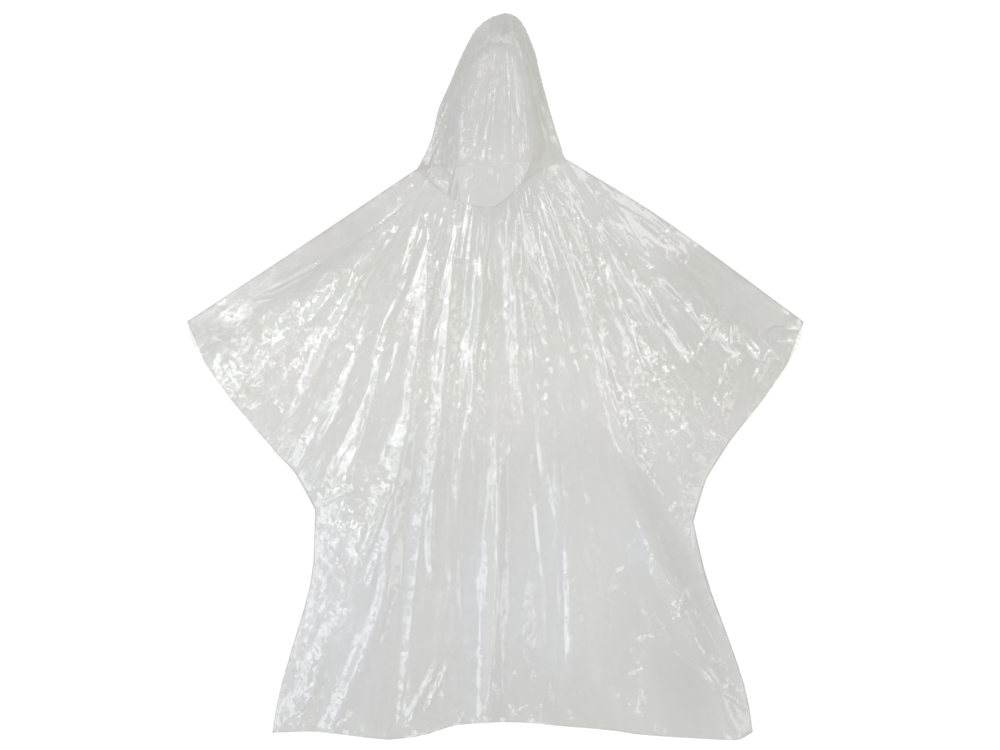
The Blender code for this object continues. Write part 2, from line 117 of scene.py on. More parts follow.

# Creases: from (x, y) to (x, y), how far the middle bows to the left of that way,
# half width, and height, below zero for a trough.
CREASE_COLUMNS = ("x0", "y0", "x1", "y1", "bow", "half_width", "height")
FRONT_CREASES = (
    # fine pleats that leave the neckline
    (-0.124, 0.306, -0.160, 0.169, 0.000, 0.011, 0.0021),
    (-0.118, 0.299, -0.138, -0.024, 0.010, 0.009, 0.0018),
    (-0.062, 0.289, -0.080, 0.169, 0.004, 0.011, 0.0024),
    (-0.018, 0.248, -0.045, -0.041, 0.004, 0.016, 0.0030),
    (-0.011, 0.267, -0.013, 0.204, 0.000, 0.007, 0.0018),
    (0.018, 0.275, 0.029, 0.148, 0.003, 0.011, 0.0024),
    (0.039, 0.296, 0.036, 0.169, 0.000, 0.009, 0.0018),
    (0.050, 0.232, 0.110, 0.099, 0.003, 0.011, 0.0024),
    (0.085, 0.253, 0.113, 0.169, 0.002, 0.009, 0.0021),
    (0.106, 0.274, 0.155, 0.127, 0.003, 0.011, 0.0024),
    (0.120, 0.348, 0.183, 0.099, 0.006, 0.014, 0.0036),
    (0.152, 0.274, 0.176, 0.169, 0.000, 0.009, 0.0021),
    (0.180, 0.222, 0.211, 0.113, 0.002, 0.011, 0.0024),
    (0.176, 0.264, 0.243, 0.169, 0.002, 0.009, 0.0024),
    (0.229, 0.141, 0.250, 0.099, 0.000, 0.009, 0.0018),
    # the wearer's right sleeve
    (-0.141, 0.318, -0.264, 0.225, 0.003, 0.011, 0.0021),
    (-0.264, 0.225, -0.427, 0.138, 0.004, 0.013, 0.0024),
    (-0.439, 0.138, -0.282, 0.152, 0.000, 0.018, -0.0018),
    (-0.501, 0.068, -0.422, 0.050, 0.000, 0.018, 0.0036),
    (-0.229, 0.204, -0.282, 0.073, 0.004, 0.014, 0.0036),
    (-0.282, 0.073, -0.325, -0.032, 0.000, 0.014, 0.0030),
    (-0.252, -0.032, -0.308, -0.111, 0.002, 0.011, 0.0027),
    (-0.203, 0.020, -0.252, -0.168, 0.004, 0.011, 0.0027),
    # the wearer's left sleeve
    (0.178, 0.328, 0.360, 0.222, 0.000, 0.014, 0.0030),
    (0.192, 0.272, 0.335, 0.180, 0.000, 0.042, 0.0070),
    (0.262, 0.283, 0.352, 0.196, 0.000, 0.009, 0.0024),
    (0.300, 0.236, 0.294, 0.190, 0.000, 0.005, 0.0010),
    (0.318, 0.226, 0.309, 0.184, 0.000, 0.005, 0.0012),
    (0.334, 0.212, 0.322, 0.178, 0.000, 0.005, 0.0010),
    (0.216, 0.262, 0.268, 0.212, 0.000, 0.006, 0.0012),
    (0.174, 0.266, 0.239, 0.173, 0.003, 0.011, 0.0024),
    (0.232, 0.134, 0.285, 0.064, 0.003, 0.013, 0.0027),
    (0.275, 0.166, 0.345, 0.113, 0.002, 0.013, 0.0024),
    (0.394, 0.117, 0.350, 0.032, 0.000, 0.011, 0.0021),
    (0.415, 0.113, 0.415, 0.043, 0.000, 0.011, 0.0024),
    (0.415, 0.043, 0.390, -0.024, 0.000, 0.011, 0.0024),
    (0.478, 0.050, 0.446, -0.015, 0.002, 0.013, 0.0024),
    (0.410, -0.022, 0.398, -0.070, 0.000, 0.014, 0.0036),
    (0.232, -0.005, 0.262, -0.125, 0.003, 0.018, 0.0042),
    (0.262, -0.085, 0.284, -0.142, 0.000, 0.014, 0.0036),
    (0.480, 0.083, 0.540, 0.081, 0.000, 0.008, 0.0018),
    (0.484, 0.088, 0.482, 0.056, 0.000, 0.008, 0.0018),
    (0.482, 0.060, 0.530, 0.060, 0.000, 0.008, 0.0014),
    (0.359, -0.094, 0.394, -0.115, 0.000, 0.011, 0.0021),
    (0.180, 0.032, 0.210, -0.024, 0.000, 0.011, 0.0024),
    # over the chest
    (0.045, 0.190, 0.098, 0.035, 0.002, 0.020, 0.0042),
    (-0.105, 0.215, -0.122, 0.080, 0.002, 0.018, 0.0038),
    (-0.010, 0.190, -0.022, 0.085, 0.000, 0.016, 0.0034),
    (0.130, 0.215, 0.178, 0.085, 0.002, 0.018, 0.0038),
    # below the waist, on the wearer's right
    (-0.317, -0.231, -0.220, -0.190, 0.004, 0.014, 0.0036),
    (-0.182, -0.173, -0.241, -0.339, 0.008, 0.014, 0.0036),
    (-0.317, -0.269, -0.255, -0.366, 0.002, 0.016, 0.0036),
    (-0.203, -0.304, -0.220, -0.374, 0.000, 0.013, 0.0030),
    (-0.089, -0.480, -0.159, -0.611, 0.002, 0.011, 0.0027),
    (-0.075, -0.492, -0.128, -0.600, 0.000, 0.009, 0.0021),
    (-0.299, -0.524, -0.352, -0.602, 0.000, 0.013, 0.0027),
    (-0.106, -0.217, -0.106, -0.366, -0.008, 0.011, 0.0024),
    # below the waist, in the middle and on the wearer's left
    (0.008, -0.138, -0.015, -0.602, 0.003, 0.025, 0.0030),
    (0.117, -0.208, 0.122, -0.567, 0.000, 0.029, -0.0024),
    (0.218, -0.129, 0.315, -0.348, 0.004, 0.025, -0.0030),
    (0.315, -0.348, 0.429, -0.550, 0.006, 0.025, -0.0030),
    (0.336, -0.211, 0.275, -0.264, 0.000, 0.018, 0.0033),
    (0.336, -0.339, 0.310, -0.431, 0.006, 0.011, 0.0027),
    (0.187, -0.373, 0.218, -0.367, 0.000, 0.005, 0.0012),
    (0.205, -0.340, 0.232, -0.331, 0.000, 0.005, 0.0010),
    (0.239, -0.464, 0.285, -0.450, 0.002, 0.005, 0.0013),
    (0.227, -0.522, 0.268, -0.509, 0.000, 0.005, 0.0012),
    (0.262, -0.545, 0.247, -0.590, 0.000, 0.012, 0.0026),
    (0.300, -0.470, 0.388, -0.540, 0.010, 0.026, 0.0046),
    (0.380, -0.535, 0.450, -0.592, 0.004, 0.024, 0.0042),
)

# Crumpled areas: centre, half extents, the turn of their long axis from +Y, and the strength
AREA_COLUMNS = ("x", "y", "across", "along", "turn", "strength")
CRUMPLED_AREAS = (
    (-0.400, 0.020, 0.095, 0.150, 40, 1.00),
    (-0.300, 0.060, 0.070, 0.140, 20, 0.75),
    (0.275, -0.050, 0.080, 0.130, -10, 0.90),
    (0.400, -0.040, 0.060, 0.090, -25, 0.25),
    (-0.250, -0.230, 0.080, 0.110, 10, 0.85),
    (0.000, -0.020, 0.260, 0.120, 0, 0.32),
    (0.270, -0.570, 0.060, 0.060, 0, 0.60),
    (-0.300, -0.520, 0.070, 0.110, 10, 0.18),
    (0.345, -0.255, 0.040, 0.080, -15, 0.50),
    (0.215, -0.330, 0.090, 0.150, 0, 0.22),
    (0.245, -0.500, 0.080, 0.100, 0, 0.30),
)

# Calm areas, which are smooth and painted a little darker, as shade
CALM_AREAS = (
    (-0.514, 0.090, 0.046, 0.068, 118, 1.00),
    (0.402, 0.145, 0.055, 0.150, 120, 1.00),
    (-0.350, 0.200, 0.065, 0.180, 62, 0.95),
    (0.300, -0.290, 0.030, 0.190, -27, 0.85),
    (0.335, -0.545, 0.075, 0.095, -20, 0.45),
)

# Where one wide fold lies smooth
SMOOTH_AREAS = (
    (0.278, 0.258, 0.075, 0.140, 122, 1.00),
    (-0.485, 0.062, 0.045, 0.060, 90, 0.70),
)

# Where the film is milkier, and where it is clearer
MILKY_AREAS = (
    (0.120, -0.330, 0.110, 0.220, 0, 0.45),
    (-0.280, -0.010, 0.260, 0.200, 0, 1.00),
    (0.020, -0.010, 0.230, 0.150, 0, 0.75),
    (-0.300, -0.340, 0.110, 0.200, 0, 0.40),
)
CLEAR_AREAS = (
    (-0.330, -0.570, 0.100, 0.120, 0, 0.50),
    (0.420, 0.080, 0.190, 0.170, 0, 1.00),
    (0.330, -0.500, 0.170, 0.220, 0, 0.80),
    (0.000, -0.620, 0.340, 0.160, 0, 0.70),
)

# The welds: name, and the places that each runs between along the outline of the front
WELDS = (
    ("shoulder_right", (-0.139, 0.363), (-0.5405, 0.096)),
    ("shoulder_left", (0.1254, 0.380), (0.5405, 0.096)),
    ("side_right", (-0.390, -0.128), (-0.391, -0.625)),
    ("side_left", (0.401, -0.128), (0.451, -0.624)),
)

CREASE_LEAN = 2.4  # how much further a crease reaches on its outer side than on its inner one
FAN_CENTRE = (0.005, 0.56)  # the folds of the body fan out from here, inside the hood
HOOD_PEAK = (0.017, 0.70)  # and those of the hood from above its peak
HOOD_FOLDS = (
    # height, size round the fan and along it, and which of the side's seeds
    (0.0018, (0.024, 0.120), 3),
    (0.0014, (0.011, 0.070), 0),
    (0.0007, (0.006, 0.030), 1),
)
HOOD_SEEDS = {"right": 30, "left": 40}
HOOD_ROUNDS = 12  # of smoothing, inside the rim
HOOD_BACK_LIFT = 0.0012  # how far the hood's back is drawn in, off what it lies on
HOOD_LOWEST = 0.0004  # above the floor


# Sheets of points


def merged_mesh(obj):
    """A CAD node's mesh as numpy arrays, with the points at one place made one."""
    co = np.array([v.co for v in obj.data.vertices])
    obj.data.calc_loop_triangles()
    tris = np.array([t.vertices for t in obj.data.loop_triangles])
    _, first, index = np.unique(np.round(co, 6), axis=0, return_index=True, return_inverse=True)
    tris = index.reshape(-1)[tris]
    whole = (tris[:, 0] != tris[:, 1]) & (tris[:, 1] != tris[:, 2]) & (tris[:, 0] != tris[:, 2])
    return co[first], tris[whole]


def boundary_loops(tris):
    """The open edges of a set of triangles, chained into loops of point numbers, longest first."""
    edges = {(a, b) for t in tris.tolist() for a, b in zip(t, t[1:] + t[:1])}
    following = {a: b for a, b in edges if (b, a) not in edges}
    loops = []
    while following:
        loop, at = [], next(iter(following))
        while at in following:
            loop.append(at)
            at = following.pop(at)
        loops.append(loop)
    return sorted(loops, key=len, reverse=True)


def top_of(node):
    """The faces of a CAD node that look up, and their outline in plan."""
    co, tris = merged_mesh(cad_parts[node])
    a, b, c = (co[tris[:, i]] for i in range(3))
    normal = np.cross(b - a, c - a)
    up = normal[:, 2] > 0.05 * np.linalg.norm(normal, axis=1)
    outline = co[boundary_loops(tris[up])[0]][:, :2]
    return co, tris[up], outline


def inside(points, outline):
    """Which of the points lie inside a closed outline."""
    x, y = points[:, 0], points[:, 1]
    found = np.zeros(len(points), bool)
    for (ax, ay), (bx, by) in zip(outline, np.roll(outline, -1, axis=0)):
        if ay == by:
            continue
        crosses = (ay > y) != (by > y)
        found ^= crosses & (x < (bx - ax) * (y - ay) / (by - ay) + ax)
    return found


def distance_to(points, path, closed=False):
    """Each point's distance to a path, and how far along the path that is."""
    best = np.full(len(points), np.inf)
    along = np.zeros(len(points))
    ends = np.roll(path, -1, axis=0) if closed else path[1:]
    done = 0.0
    for a, b in zip(path, ends):
        step = b - a
        length = math.hypot(*step)
        if length < 1e-9:
            continue
        t = np.clip((points - a) @ step / length**2, 0, 1)
        d = np.linalg.norm(points - a - t[:, None] * step, axis=1)
        near = d < best
        best[near] = d[near]
        along[near] = done + t[near] * length
        done += length
    return best, along


def plan_mesh(outline, spacing):
    """Triangles of even size that fill an outline: (points in plan, triangles)."""
    rim = []
    for a, b in zip(outline, np.roll(outline, -1, axis=0)):
        pieces = max(1, round(math.dist(a, b) / spacing))
        rim += [a + (b - a) * i / pieces for i in range(pieces)]
    rim = np.array(rim)
    low, high = outline.min(0), outline.max(0)
    rows = int((high[1] - low[1]) / (spacing * math.sqrt(0.75)))
    columns = int((high[0] - low[0]) / spacing) + 1
    row, column = np.meshgrid(np.arange(rows), np.arange(columns), indexing="ij")
    x = low[0] + (column + 0.5 * (row % 2)) * spacing
    y = low[1] + row * spacing * math.sqrt(0.75)
    points = np.stack([x.ravel(), y.ravel()], axis=1)
    points = points[inside(points, outline)]
    points = points[distance_to(points, outline, closed=True)[0] > 0.6 * spacing]
    count = len(rim)
    edges = [(i, (i + 1) % count) for i in range(count)]
    every = [Vector(p) for p in np.vstack([rim, points])]
    found = geometry.delaunay_2d_cdt(every, edges, [], 1, 1e-7)
    return np.array([tuple(p) for p in found[0]]), np.array([tuple(f) for f in found[2]])


def surface_height(co, tris, points):
    """The height of a mesh over each point in plan."""
    tree = BVHTree.FromPolygons(co.tolist(), tris.tolist())
    down = Vector((0, 0, -1))
    heights = np.full(len(points), np.nan)
    for i, (x, y) in enumerate(points.tolist()):
        hit = tree.ray_cast(Vector((x, y, 1.0)), down)[0]
        if hit is None:
            hit = tree.find_nearest(Vector((x, y, 0.004)))[0]
        heights[i] = hit.z
    return heights


def neighbour_mean(values, tris):
    """For each point, the mean of the values at the points joined to it."""
    a = np.concatenate([tris[:, 0], tris[:, 1], tris[:, 2]])
    b = np.concatenate([tris[:, 1], tris[:, 2], tris[:, 0]])
    ends, others = np.concatenate([a, b]), np.concatenate([b, a])
    count = np.maximum(np.bincount(ends, minlength=len(values)), 1)
    if values.ndim == 1:
        return np.bincount(ends, values[others], minlength=len(values)) / count
    return np.column_stack(
        [np.bincount(ends, c[others], minlength=len(values)) / count for c in values.T]
    )


def smoothed(values, tris, rounds):
    """The values, each moved towards its neighbours' mean so many times."""
    for _ in range(rounds):
        values = 0.4 * values + 0.6 * neighbour_mean(values, tris)
    return values


def not_below(values, floor, softness):
    """The values, turned smoothly away from a floor."""
    return 0.5 * (values + floor + np.sqrt((values - floor) ** 2 + softness**2))


# Creases and crumples


def crease_height(points, table):
    """How far the creases of a table lift each point, or lower it."""
    total = np.zeros(len(points))
    for row in table:
        c = dict(zip(CREASE_COLUMNS, row))
        a, b = np.array([c["x0"], c["y0"]]), np.array([c["x1"], c["y1"]])
        way = b - a
        left = np.array([-way[1], way[0]]) / np.linalg.norm(way)
        t = np.linspace(0, 1, 9)[:, None]
        path = a + way * t + left * c["bow"] * 4 * t * (1 - t)
        low, high = path.min(0) - c["half_width"], path.max(0) + c["half_width"]
        near = np.all((points > low) & (points < high), axis=1)
        d, along = distance_to(points[near], path)
        length = np.linalg.norm(np.diff(path, axis=0), axis=1).sum()
        ends = np.clip(np.minimum(along, length - along) / (0.30 * length), 0, 1)
        side = (points[near] - a) @ left * (1 if left[0] * (a[0] + b[0]) > 0 else -1)
        reach = c["half_width"] * np.where(side > 0, 1.0, 1 / CREASE_LEAN)
        total[near] += c["height"] * np.clip(1 - d / reach, 0, 1) * ends
    return total


def area_strength(points, table):
    """How deep in any area of a table each point lies: its strength in the middle, 0 outside."""
    strength = np.zeros(len(points))
    for row in table:
        c = dict(zip(AREA_COLUMNS, row))
        turn = math.radians(c["turn"])
        x, y = points[:, 0] - c["x"], points[:, 1] - c["y"]
        p = (x * math.cos(turn) - y * math.sin(turn)) / c["across"]
        q = (x * math.sin(turn) + y * math.cos(turn)) / c["along"]
        strength = np.maximum(strength, c["strength"] * np.clip(1 - p**2 - q**2, 0, 1) ** 0.8)
    return strength


def facets(points, cell, seed, calm=1.0):
    """Crumpled film, from -0.5 to 1: flat facets between random points, about one cell apart.

    The higher calm is, the fewer of them rise.
    """
    rng = np.random.default_rng(SEED + seed)
    low = points.min(0) - 2 * np.array(cell)
    columns, rows = np.ceil((points.max(0) - low) / cell).astype(int) + 3
    grid = np.stack(np.meshgrid(np.arange(columns), np.arange(rows)), axis=-1).reshape(-1, 2)
    corners = grid + rng.uniform(-0.45, 0.45, grid.shape)
    found = geometry.delaunay_2d_cdt([Vector(p) for p in corners], [], [], 0, 1e-7)
    plan = np.array([tuple(p) for p in found[0]])
    heights = rng.uniform(-0.7, 1, len(plan))
    co = np.column_stack([plan, heights * np.abs(heights) ** calm])
    tree = BVHTree.FromPolygons(co.tolist(), [list(f) for f in found[2]])
    down = Vector((0, 0, -1))
    out = np.zeros(len(points))
    for i, (x, y) in enumerate(((points - low) / cell).tolist()):
        hit = tree.ray_cast(Vector((x, y, 3.0)), down)[0]
        out[i] = hit.z if hit else 0.0
    return out


def fanned(points, centre):
    """The points as (distance round a fan, measured half a metre out, distance from its centre)."""
    x, y = points[:, 0] - centre[0], centre[1] - points[:, 1]
    return np.column_stack([np.arctan2(x, y) * 0.5, np.hypot(x, y)])


def crumple(points, seed):
    """Facets of several sizes: long ones that fan out from the hood, even ones where crumpled."""
    fan = fanned(points, FAN_CENTRE)
    strength = area_strength(points, CRUMPLED_AREAS)
    upper = np.clip((points[:, 1] + 0.16) / 0.12, 0, 1)
    near = np.clip((0.47 - fan[:, 1]) / 0.12, 0, 1)
    # the folds widen as they fan out, so they grow as well, which keeps their slopes
    spread = np.clip(fan[:, 1] / 0.5, 0.42, 2.2)

    def along_fan(height, cell, number, calm):
        return height * facets(fan, cell, seed + number, calm)

    def even(height, cell, number, calm=1.0):
        return height * facets(points, cell, seed + number, calm)

    busy = 0.70 + even(0.5, (0.090, 0.130), 6, 0.0)
    broad = along_fan(0.0026, (0.034, 0.260), 5, 0.8) * spread * (1.0 + 0.15 * upper)
    long_folds = along_fan(0.0032, (0.022, 0.110), 0, 2.4) * spread * (0.75 + 0.25 * upper)
    columns = along_fan(0.0012, (0.015, 0.200), 7, 0.0) * spread * (1.05 - 0.80 * upper)
    streaks = along_fan(0.0005, (0.0085, 0.060), 1, 1.6) * spread
    pleats = along_fan(0.0010, (0.0070, 0.080), 8, 0.8) * near
    wide = np.abs(even(0.0050, (0.050, 0.062), 2)) * strength
    small = even(0.0018, (0.023, 0.028), 3) * (0.16 + 0.84 * strength)
    fine = even(0.0003, (0.0095, 0.012), 4, 0.7) * (0.35 + 0.65 * strength)
    return columns + pleats + busy * (broad + long_folds + streaks) + wide + small + fine


# Materials


class Tree:
    """A node tree, with short ways to make a node, feed its inputs and get what comes out."""

    def __init__(self, owner):
        owner.use_nodes = True
        self.nodes, self.links = owner.node_tree.nodes, owner.node_tree.links

    def put(self, socket, value):
        """Links an input to the output that feeds it, or sets its constant."""
        if isinstance(value, bpy.types.NodeSocket):
            self.links.new(value, socket)
        else:
            socket.default_value = value

    def new(self, kind, inputs=None, **settings):
        """A node with its settings, and its inputs fed by name or number."""
        made = self.nodes.new("ShaderNode" + kind)
        for key, value in settings.items():
            setattr(made, key, value)
        for key, value in (inputs or {}).items():
            self.put(made.inputs[key], value)
        return made

    def attribute(self, key, output):
        return self.new("Attribute", attribute_name=key).outputs[output]

    def math(self, operation, a, b):
        return self.new("Math", {0: a, 1: b}, operation=operation).outputs[0]

    def vector(self, operation, *values):
        return self.new("VectorMath", dict(enumerate(values)), operation=operation).outputs[0]

    def scaled(self, vector, factor):
        return self.new("VectorMath", {0: vector, "Scale": factor}, operation="SCALE").outputs[0]

    def part(self, vector, axis):
        return self.new("SeparateXYZ", {0: vector}).outputs[axis]

    def mix(self, factor, a, b, kind="MIX"):
        inputs = {0: factor, 6: a, 7: b}
        return self.new("Mix", inputs, data_type="RGBA", blend_type=kind).outputs[2]

    def ranged(self, value, source, target=(0.0, 1.0), kind="LINEAR"):
        """The value, taken from one range to another and kept inside it."""
        keys = ("From Min", "From Max", "To Min", "To Max")
        inputs = dict(zip(keys, (*source, *target)), Value=value)
        return self.new("MapRange", inputs, interpolation_type=kind).outputs[0]

    def noise(self, vector, scale, detail, output="Fac", **settings):
        inputs = {"Scale": scale, "Detail": detail, "Vector": vector}
        return self.new("TexNoise", inputs, **settings).outputs[output]


def film_colour(tree, read, olive, neutral, warm, banded):
    """Olive above and neutral below, in bands, with warm patches and whiter ridges and crumples.

    Troughs are darker, a painted shade, and the milk attribute paints more shade.
    """
    milk = read["milk"]
    lower = tree.ranged(tree.part(read["place"], "Y"), OLIVE_TO_NEUTRAL)
    long_way = tree.vector("MULTIPLY", read["fan"], (26.0 + 16.0 * banded, 1.3, 0))
    bands = tree.noise(long_way, 1.0, 1.0, noise_dimensions="2D")
    band = tree.ranged(bands, (0.47, 0.54), (1.0, OLIVE_BAND * max(1 - banded, 0)))
    # the neutral colour also rises between the bands where the colour has painted shade
    clearer_and_shaded = tree.math("MULTIPLY", tree.math("SUBTRACT", 1.0, milk), banded)
    greyer = tree.math("MULTIPLY", tree.math("MAXIMUM", lower, clearer_and_shaded), band)
    greyer = tree.math("MULTIPLY", greyer, read["lively"])
    patches = tree.ranged(tree.noise(read["place"], 7.0, 2.0), (0.50, 0.68))
    redder = tree.math("SUBTRACT", 0.6, tree.math("MULTIPLY", lower, 0.4))
    colour = tree.mix(greyer, (*olive, 1), (*neutral, 1))
    colour = tree.mix(tree.math("MULTIPLY", patches, redder), colour, (*warm, 1))
    # painted shade in troughs, and whiter film on the ridges
    trough_shade_ridge_white = tree.ranged(read["fold"], (-1.0, 1.0), TROUGH_SHADE_RIDGE_WHITE)
    whitened = tree.math("MULTIPLY", read["crumpled"], CRUMPLED_WHITER)
    shade = tree.math("MULTIPLY", tree.math("ADD", trough_shade_ridge_white, whitened), milk)
    less_blue = tree.math("ADD", tree.math("MULTIPLY", milk, 0.20), 0.80)
    blue = tree.math("MULTIPLY", shade, less_blue)
    grey = tree.new("CombineColor", {0: shade, 1: shade, 2: blue}).outputs[0]
    return tree.mix(1.0, colour, grey, "MULTIPLY")


def film_normal(tree, read, fan_centre, sharp, streak, crinkle):
    """Fine crinkle, as small flat facets that are each tilted their own way."""

    def facet_tilts(vector, cell):
        """A random vector for each cell, from -0.5 to 0.5."""
        in_cells = tree.vector("MULTIPLY", vector, (1 / cell[0], 1 / cell[1], 0))
        inputs = {"Scale": 1.0, "Vector": in_cells}
        cells = tree.new("TexVoronoi", inputs, voronoi_dimensions="2D")
        return tree.vector("SUBTRACT", cells.outputs["Color"], (0.5, 0.5, 0.5))

    place, lively = read["place"], read["lively"]
    wobble = tree.noise(place, 22.0, 1.0, "Color")
    warp = tree.vector("MULTIPLY_ADD", wobble, (0.016, 0.016, 0), place)
    sway = tree.vector("MULTIPLY_ADD", wobble, (0.005, 0.030, 0), read["fan"])
    outward = tree.vector("NORMALIZE", tree.vector("SUBTRACT", place, (*fan_centre, 0)))
    across = tree.vector("CROSS_PRODUCT", outward, (0, 0, 1))
    # powers of the random tilts: most facets barely tilt, and a few tilt far
    streaks = []
    for cell, depth in STREAK_CELLS:
        x = tree.part(facet_tilts(sway, cell), "X")
        rare = tree.math("MULTIPLY", tree.math("MULTIPLY", x, x), x)
        streaks.append(tree.scaled(across, tree.math("MULTIPLY", rare, streak * depth * 9)))
    busy = tree.ranged(tree.part(place, "Y"), (-0.24, -0.04), (0.75, 1.0))
    tilt = tree.scaled(tree.vector("ADD", *streaks), busy)
    share = tree.math("ADD", tree.math("MULTIPLY", read["crumpled"], 0.7), 0.35)
    for cell, depth in CRINKLE_CELLS:
        turn = facet_tilts(warp, cell)
        size = tree.new("VectorMath", {0: turn}, operation="LENGTH").outputs["Value"]
        found = tree.vector("MULTIPLY", turn, (4 * depth * crinkle, 4 * depth * crinkle, 0))
        tilt = tree.vector("ADD", tilt, tree.scaled(tree.scaled(found, size), share))
    # a calm stretch looks up, whatever its folds
    upright = tree.math("MULTIPLY", tree.math("SUBTRACT", 1.0, lively), 4.0)
    upright = tree.new("CombineXYZ", {"Z": upright}).outputs[0]
    tilt = tree.vector("ADD", tree.scaled(tilt, lively), upright)
    shape = tree.new("NewGeometry").outputs
    creased = tree.vector("ADD", tree.scaled(shape["True Normal"], sharp), tilt)
    faceted = tree.vector("ADD", tree.scaled(shape["Normal"], 1 - sharp), creased)
    rough = tree.math("MULTIPLY", tree.noise(place, 420.0, 1.0), ROUGH_DEPTH)
    bump = {"Strength": 1.0, "Distance": 1.0, "Height": rough}
    return tree.new("Bump", bump | {"Normal": tree.vector("NORMALIZE", faceted)}).outputs["Normal"]


def film_material(
    name, fan_centre, streak, crinkle, alpha, shine, sharp, olive, neutral, warm, banded=0.0
):
    """Clear film: a milky colour that varies over the piece, and fine crinkle too small to model.

    streak and crinkle are how steeply the fine facets tilt, in radians: those that run along the
    fan, and those that face every way. sharp is how far the edges between facets stay sharp, and
    banded how far the neutral colour goes up between the olive bands where the film is clearer,
    and where it has painted shade.
    """
    material = bpy.data.materials.new(name)
    tree = Tree(material)
    shader = tree.nodes["Principled BSDF"].inputs
    shader["Alpha"].default_value = alpha
    shader["IOR"].default_value = FILM_IOR
    shader["Specular IOR Level"].default_value = shine
    shader["Roughness"].default_value = FILM_ROUGHNESS
    read = {key: tree.attribute(key, "Vector") for key in ("place", "fan")}
    read |= {key: tree.attribute(key, "Fac") for key in ("fold", "crumpled", "milk", "lively")}
    tree.put(shader["Base Color"], film_colour(tree, read, olive, neutral, warm, banded))
    tree.put(shader["Normal"], film_normal(tree, read, fan_centre, sharp, streak, crinkle))
    return material


# Pieces


def new_piece(name, co, faces, material, node):
    """A visible piece from its points and faces, which rides the root body."""
    mesh = bpy.data.meshes.new(name)
    mesh.from_pydata(co.tolist(), [], faces.tolist())
    mesh.shade_smooth()
    mesh.materials.append(material)
    obj = bpy.data.objects.new(name, mesh)
    bpy.context.scene.collection.objects.link(obj)
    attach(obj, "root")
    if node:
        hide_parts(node)
    return obj


def write_attributes(obj, faces, fan_centre, crumpled, milk, lively=1.0):
    """The places, fan and folds that the film's material reads at each point."""
    mesh = obj.data
    co = np.array([v.co for v in mesh.vertices])
    fan = np.column_stack([fanned(co[:, :2], fan_centre), np.zeros(len(co))])
    rise = co[:, 2] - smoothed(co[:, 2], faces, 1)
    values = {
        "place": ("FLOAT_VECTOR", "vector", co),
        "fan": ("FLOAT_VECTOR", "vector", fan),
        "fold": ("FLOAT", "value", np.clip(rise / FULL_RIDGE, -1, 1)),
        "crumpled": ("FLOAT", "value", crumpled),
        "milk": ("FLOAT", "value", milk),
        "lively": ("FLOAT", "value", np.full(len(co), 1.0) * lively),
    }
    for key, (kind, field, data) in values.items():
        made = mesh.attributes.new(key, kind, "POINT")
        made.data.foreach_set(field, data.astype(np.float32).ravel())


def edge_shade(edge):
    """Painted shade: the film's colour is a little darker along its edges, where light leaves it
    sideways.
    """
    return 1 - EDGE_DARKER * np.clip(1.4 - edge / EDGE_WIDTH, 0, 1)


def make_front():
    """The front film with the welds round it. Returns its outline, which the hood joins."""
    co, tris, outline = top_of("front_panel")
    plan, faces = plan_mesh(outline, FRONT_SPACING)
    edge = distance_to(plan, outline, closed=True)[0]
    held = np.clip(1 - edge / FRONT_HELD, 0, 1)
    free = np.clip(edge / CREASE_REACH, 0, 1) ** 0.8
    calm = area_strength(plan, CALM_AREAS)
    even = np.maximum(CALM_FLATTER * calm, SMOOTH_FLATTER * area_strength(plan, SMOOTH_AREAS))

    solid = surface_height(co, tris, plan) - CAD_WALL / 2
    firm = smoothed(solid, faces, FIRM_ROUNDS)
    soft = smoothed(firm, faces, SOFT_ROUNDS)
    broken = FIRM_SHARE + FIRM_VARIES * facets(plan, (0.060, 0.140), 8, 0.0)
    height = held * solid + (1 - held) * (soft + broken * (firm - soft))
    height += FRONT_LIFT * np.clip(edge / LIFT_REACH, 0, 1)
    height += free * (crease_height(plan, FRONT_CREASES) + (1 - even) * crumple(plan, 0))
    lowest, softness = FRONT_EDGE_Z + 0.0008 * (1 - held), 0.0002 + 0.0020 * free
    height = not_below(height, lowest, softness)

    film = film_material("film_front", FAN_CENTRE, streak=0.06, crinkle=0.12, **FRONT_FILM)
    points = np.column_stack([plan, height])
    piece = new_piece("film_front", points, faces, film, "front_panel")
    milkier = area_strength(plan, MILKY_AREAS) - area_strength(plan, CLEAR_AREAS)
    # painted shade by the edges and in calm areas, with milkier and clearer areas of film
    milk = edge_shade(edge) * (1 - CALM_SHADE * calm) * (1 + MILKY_MORE * milkier)
    crumpled = area_strength(plan, CRUMPLED_AREAS)
    write_attributes(piece, faces, FAN_CENTRE, crumpled, milk, 1 - CALM_PLAIN * calm)

    # a hair inside the outline, so that every ray meets the solid
    heights = surface_height(co, tris, outline * 0.9995) - CAD_WALL / 2
    front_edge = np.column_stack([outline, heights])
    weld_film = film_material("film_weld", FAN_CENTRE, streak=0.03, crinkle=0.05, **WELD_FILM)
    low = np.array([1, 1, WELD_FLATTER])
    welds = [
        make_weld(name, stretch_between(front_edge, start, end) * low, weld_film)
        for name, start, end in WELDS
    ]
    return front_edge


def with_hem(outline, other):
    """An outline with the hem of another one, so that the two films end together."""
    low = outline[:, 1] < HEM_TOP
    start = np.flatnonzero(low & ~np.roll(low, 1))[0]
    outline = np.roll(outline, -start, axis=0)
    kept = outline[outline[:, 1] >= HEM_TOP]
    hem = other[other[:, 1] < HEM_TOP]
    hem = hem[np.argsort(hem[:, 0])]
    return np.vstack([kept, hem[::-1] if kept[-1, 0] > 0 else hem])


